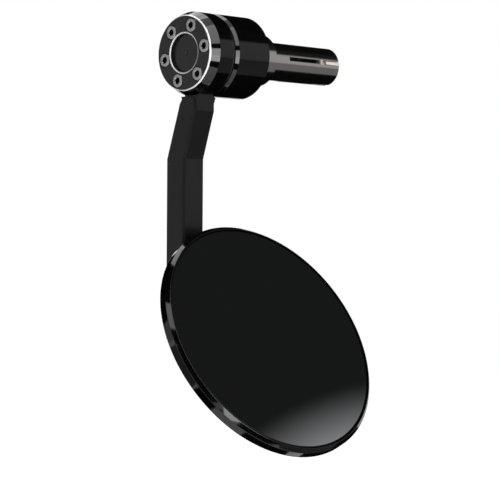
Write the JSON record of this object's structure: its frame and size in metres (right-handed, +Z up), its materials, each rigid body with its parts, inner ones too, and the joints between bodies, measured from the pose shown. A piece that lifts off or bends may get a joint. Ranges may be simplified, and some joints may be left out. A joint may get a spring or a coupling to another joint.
{
  "type": "motorcycle bar end mirror",
  "caption": "Round rear-view mirror on a cranked arm that swivels on a bar end barrel, with a slotted expanding insert for the handlebar and a ball joint behind the glass.",
  "frame": {"origin": "on the bar's axis, at the face of the collar that the handlebar's end rests against", "axes": "+X along the handlebar's axis into the bar, -Y to the rear where the glass looks, +Z up"},
  "size_m": [0.1192, 0.0768, 0.1737],
  "materials": {
    "black_gloss": "gloss black anodised aluminium",
    "black_satin": "satin black anodised aluminium",
    "sleeve_steel": "turned stainless steel",
    "cone_steel": "nickel plated, warm",
    "dark_steel": "blackened steel",
    "screw_steel": "satin stainless steel",
    "ball_steel": "polished steel",
    "washer_steel": "plain spring steel",
    "nylon": "natural nylon",
    "fibre": "black friction fibre",
    "rubber": "black rubber",
    "foam": "black self-adhesive foam",
    "mirror_glass": "convex mirror glass"
  },
  "bodies": {
    "bar_mount": {"barrel": "black_gloss", "insert_sleeve": "sleeve_steel", "bolt_washer": "washer_steel", "end_cap": "black_satin", "cap_screws": "screw_steel", "centre_plug": "black_satin", "plug_o_ring": "rubber", "wave_washer": "washer_steel", "friction_washer": "fibre"},
    "draw_bolt": {"draw_bolt": "dark_steel"},
    "expander": {"expander_cone": "cone_steel"},
    "arm": {"arm": "black_satin", "eye_bush": "nylon", "ball_stud": "ball_steel", "stud_lock_washer": "washer_steel"},
    "rear_seat": {"ball_seat_rear": "nylon"},
    "front_seat": {"ball_seat_front": "nylon"},
    "mirror_head": {"mirror_housing": "black_gloss", "glass_pad": "foam", "mirror_glass": "mirror_glass", "clamp_ring": "black_gloss", "clamp_screws": "screw_steel"}
  },
  "joints": [
    {"name": "arm_swivel", "type": "hinge", "parent": "bar_mount", "child": "arm", "pos_m": [-0.03453, 0, 0], "axis": [1, 0, 0], "continuous": true},
    {"name": "mirror_tilt", "type": "hinge", "parent": "arm", "child": "rear_seat", "pos_m": [-0.03453, -0.0113, -0.1], "axis": [0.9995, -0.0314, 0], "range_deg": [-10, 10]},
    {"name": "mirror_spin", "type": "hinge", "parent": "rear_seat", "child": "front_seat", "pos_m": [-0.03453, -0.0113, -0.1], "axis": [-0.0271, -0.863, 0.5045], "range_deg": [-30, 30]},
    {"name": "mirror_pan", "type": "hinge", "parent": "front_seat", "child": "mirror_head", "pos_m": [-0.03453, -0.0113, -0.1], "axis": [0.0158, 0.5043, 0.8634], "range_deg": [-10, 10]},
    {"name": "bolt_turn", "type": "hinge", "parent": "bar_mount", "child": "draw_bolt", "pos_m": [0, 0, 0], "axis": [1, 0, 0], "range_deg": [0, 720]},
    {"name": "expander_slide", "type": "slide", "parent": "bar_mount", "child": "expander", "axis": [-1, 0, 0], "range_m": [0, 0.002]}
  ],
  "couplings": [
    {"joint": "expander_slide", "follows": "bolt_turn", "m_per_rad": 0.000159}
  ]
}
